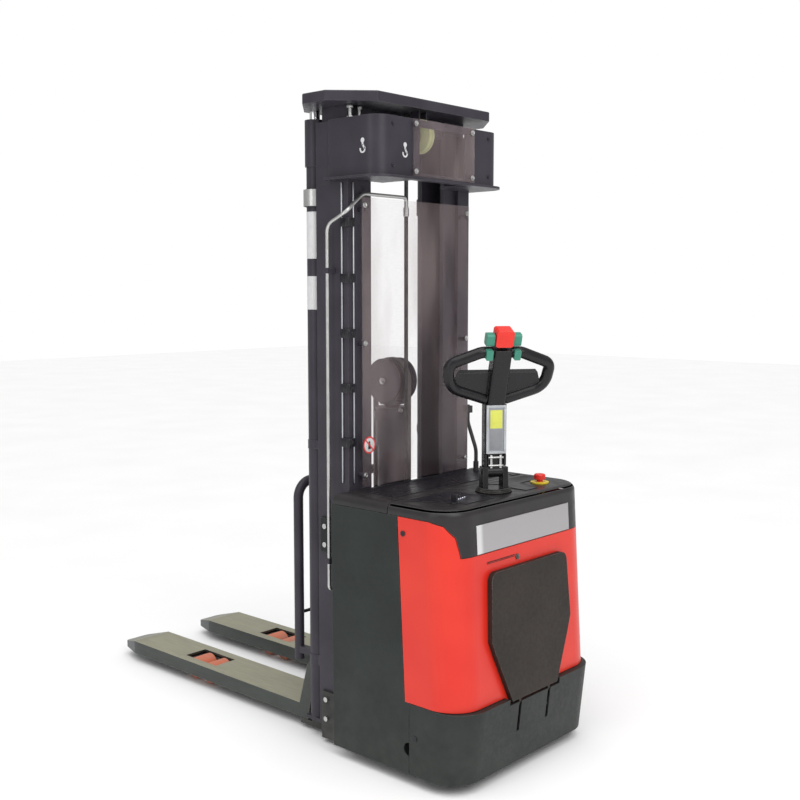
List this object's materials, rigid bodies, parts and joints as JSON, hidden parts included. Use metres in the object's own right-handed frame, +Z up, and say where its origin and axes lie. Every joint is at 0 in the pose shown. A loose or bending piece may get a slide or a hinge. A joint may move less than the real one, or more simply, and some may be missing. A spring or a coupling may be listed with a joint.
{
  "type": "walkie stacker",
  "caption": "Electric walkie stacker with fold-up platform, two-stage free-lift mast, straddling forks over load wheels and a steerable tiller head.",
  "frame": {"origin": "centre of the footprint box on the floor under the wheels", "axes": "+X to the operator's right, +Y towards the fork tips, +Z up"},
  "size_m": [0.82, 1.988, 2.21],
  "materials": {
    "frame_paint": "satin",
    "mast_paint": "satin",
    "fork_paint": "satin, worn on top",
    "body_dark": "fine grain",
    "cover_red": "semi-gloss",
    "console_plastic": "satin moulded",
    "trim_silver": "brushed",
    "guard_clear": "clear polycarbonate",
    "zinc": "zinc plated",
    "chrome_rod": "hard chrome",
    "hose_rubber": "matt",
    "chain_steel": "oiled",
    "pulley_nylon": "cast nylon",
    "platform_paint": "ribbed rubber mat on a steel plate",
    "drive_paint": "painted",
    "tyre_black": "matt",
    "wheel_pu": "polyurethane",
    "tiller_plastic": "satin moulded",
    "label_grey": "satin",
    "button_red": "gloss",
    "paddle_green": "satin",
    "estop_yellow": "gloss",
    "battery_case": "moulded",
    "unit_grey": "satin"
  },
  "bodies": {
    "chassis": {"chassis_frame": "frame_paint", "support_leg_left": "frame_paint", "support_leg_right": "frame_paint", "battery": "battery_case", "power_pack": "unit_grey", "controller": "unit_grey", "battery_casing": "body_dark", "battery_lid": "console_plastic", "console_cover": "console_plastic", "drive_cover": "cover_red", "rear_skirt": "body_dark", "silver_trim": "trim_silver", "cover_screws": "zinc", "display_unit": "console_plastic", "estop_base": "estop_yellow", "outer_mast": "mast_paint", "mast_top_box": "mast_paint", "main_guard": "guard_clear", "top_guard": "guard_clear", "mast_bolts": "zinc", "lift_cylinders": "mast_paint", "cylinder_clamps": "mast_paint", "hydraulic_pipe": "zinc", "mast_hose": "hose_rubber", "platform_pins": "zinc"},
    "inner_mast": {"inner_mast": "mast_paint", "inner_top_plate": "mast_paint", "lift_rods": "chrome_rod", "freelift_cylinder": "mast_paint", "freelift_hose": "hose_rubber"},
    "hose_pulley": {"hose_pulley": "pulley_nylon"},
    "freelift_head": {"freelift_head": "mast_paint", "lift_chain": "chain_steel"},
    "lift_sheave": {"lift_sheave": "chain_steel"},
    "carriage": {"carriage_frame": "mast_paint", "fork_left": "fork_paint", "fork_right": "fork_paint", "backrest": "mast_paint"},
    "platform": {"platform": "platform_paint"},
    "drive_unit": {"drive_unit": "drive_paint", "tiller_base": "tiller_plastic"},
    "drive_wheel": {"drive_hub": "drive_paint", "drive_tyre": "tyre_black"},
    "tiller": {"tiller_arm": "tiller_plastic", "tiller_label_plate": "label_grey", "tiller_head": "tiller_plastic"},
    "butterfly": {"butterfly": "paddle_green"},
    "belly_button": {"belly_button": "button_red"},
    "lift_button": {"lift_button": "paddle_green"},
    "lower_button": {"lower_button": "paddle_green"},
    "estop_button": {"estop_button": "button_red"},
    "key": {"key": "zinc"},
    "castor_fork_left": {"castor_fork_left": "frame_paint"},
    "castor_wheel_left": {"castor_wheel_left": "tyre_black"},
    "load_wheel_front_left": {"load_wheel_front_left": "wheel_pu"},
    "load_wheel_rear_left": {"load_wheel_rear_left": "wheel_pu"},
    "castor_fork_right": {"castor_fork_right": "frame_paint"},
    "castor_wheel_right": {"castor_wheel_right": "tyre_black"},
    "load_wheel_front_right": {"load_wheel_front_right": "wheel_pu"},
    "load_wheel_rear_right": {"load_wheel_rear_right": "wheel_pu"}
  },
  "joints": [
    {"name": "mast_lift", "type": "slide", "parent": "chassis", "child": "inner_mast", "axis": [0, 0, 1], "range_m": [0, 1.45]},
    {"name": "carriage_lift", "type": "slide", "parent": "inner_mast", "child": "carriage", "axis": [0, 0, 1], "range_m": [0, 1.4]},
    {"name": "freelift", "type": "slide", "parent": "inner_mast", "child": "freelift_head", "axis": [0, 0, 1], "range_m": [0, 0.7]},
    {"name": "sheave_spin", "type": "hinge", "parent": "freelift_head", "child": "lift_sheave", "pos_m": [0, -0.351, 1.254], "axis": [1, 0, 0], "continuous": true},
    {"name": "hose_pulley_spin", "type": "hinge", "parent": "inner_mast", "child": "hose_pulley", "pos_m": [-0.03, -0.505, 2.096], "axis": [1, 0, 0], "continuous": true},
    {"name": "platform_fold", "type": "hinge", "parent": "chassis", "child": "platform", "pos_m": [0, -0.946, 0.19], "axis": [1, 0, 0], "range_deg": [0, 90], "stiffness_Nm_per_rad": 60, "springref_deg": -51.57},
    {"name": "steer", "type": "hinge", "parent": "chassis", "child": "drive_unit", "pos_m": [0, -0.812, 0.5], "axis": [0, 0, 1], "range_deg": [-55, 125]},
    {"name": "drive_spin", "type": "hinge", "parent": "drive_unit", "child": "drive_wheel", "pos_m": [0, -0.812, 0.115], "axis": [0.8192, -0.5736, 0], "continuous": true},
    {"name": "tiller_tilt", "type": "hinge", "parent": "drive_unit", "child": "tiller", "pos_m": [0, -0.812, 0.975], "axis": [0.8192, -0.5736, 0], "range_deg": [0, 78], "stiffness_Nm_per_rad": 12, "springref_deg": -51.57},
    {"name": "butterfly_turn", "type": "hinge", "parent": "tiller", "child": "butterfly", "pos_m": [-0.05028, -0.8838, 1.41696], "axis": [0.8192, -0.5736, 0], "range_deg": [-20, 20], "stiffness_Nm_per_rad": 0.4},
    {"name": "belly_press", "type": "slide", "parent": "tiller", "child": "belly_button", "axis": [0.2149, 0.3069, -0.9272], "range_m": [0, 0.005], "stiffness_N_per_m": 600, "springref_m": -0.002},
    {"name": "lift_press", "type": "slide", "parent": "tiller", "child": "lift_button", "axis": [0.5318, 0.7595, 0.3746], "range_m": [0, 0.004], "stiffness_N_per_m": 300, "springref_m": -0.001},
    {"name": "lower_press", "type": "slide", "parent": "tiller", "child": "lower_button", "axis": [0.5318, 0.7595, 0.3746], "range_m": [0, 0.004], "stiffness_N_per_m": 300, "springref_m": -0.001},
    {"name": "estop_press", "type": "slide", "parent": "chassis", "child": "estop_button", "axis": [0, 0, -1], "range_m": [0, 0.008]},
    {"name": "key_turn", "type": "hinge", "parent": "chassis", "child": "key", "pos_m": [-0.25, -0.846, 0.906], "axis": [0, 0, 1], "range_deg": [0, 90]},
    {"name": "castor_swivel_left", "type": "hinge", "parent": "chassis", "child": "castor_fork_left", "pos_m": [-0.25, -0.846, 0.172], "axis": [0, 0, 1], "continuous": true},
    {"name": "castor_spin_left", "type": "hinge", "parent": "castor_fork_left", "child": "castor_wheel_left", "pos_m": [-0.25, -0.808, 0.0625], "axis": [1, 0, 0], "continuous": true},
    {"name": "load_spin_front_left", "type": "hinge", "parent": "chassis", "child": "load_wheel_front_left", "pos_m": [-0.1975, 0.521, 0.0425], "axis": [1, 0, 0], "continuous": true},
    {"name": "load_spin_rear_left", "type": "hinge", "parent": "chassis", "child": "load_wheel_rear_left", "pos_m": [-0.1975, 0.426, 0.0425], "axis": [1, 0, 0], "continuous": true},
    {"name": "castor_swivel_right", "type": "hinge", "parent": "chassis", "child": "castor_fork_right", "pos_m": [0.25, -0.846, 0.172], "axis": [0, 0, 1], "continuous": true},
    {"name": "castor_spin_right", "type": "hinge", "parent": "castor_fork_right", "child": "castor_wheel_right", "pos_m": [0.25, -0.808, 0.0625], "axis": [1, 0, 0], "continuous": true},
    {"name": "load_spin_front_right", "type": "hinge", "parent": "chassis", "child": "load_wheel_front_right", "pos_m": [0.1975, 0.521, 0.0425], "axis": [1, 0, 0], "continuous": true},
    {"name": "load_spin_rear_right", "type": "hinge", "parent": "chassis", "child": "load_wheel_rear_right", "pos_m": [0.1975, 0.426, 0.0425], "axis": [1, 0, 0], "continuous": true}
  ],
  "couplings": [
    {"joint": "freelift", "follows": "carriage_lift", "ratio": 0.5},
    {"joint": "sheave_spin", "follows": "carriage_lift", "rad_per_m": 6.5531}
  ]
}
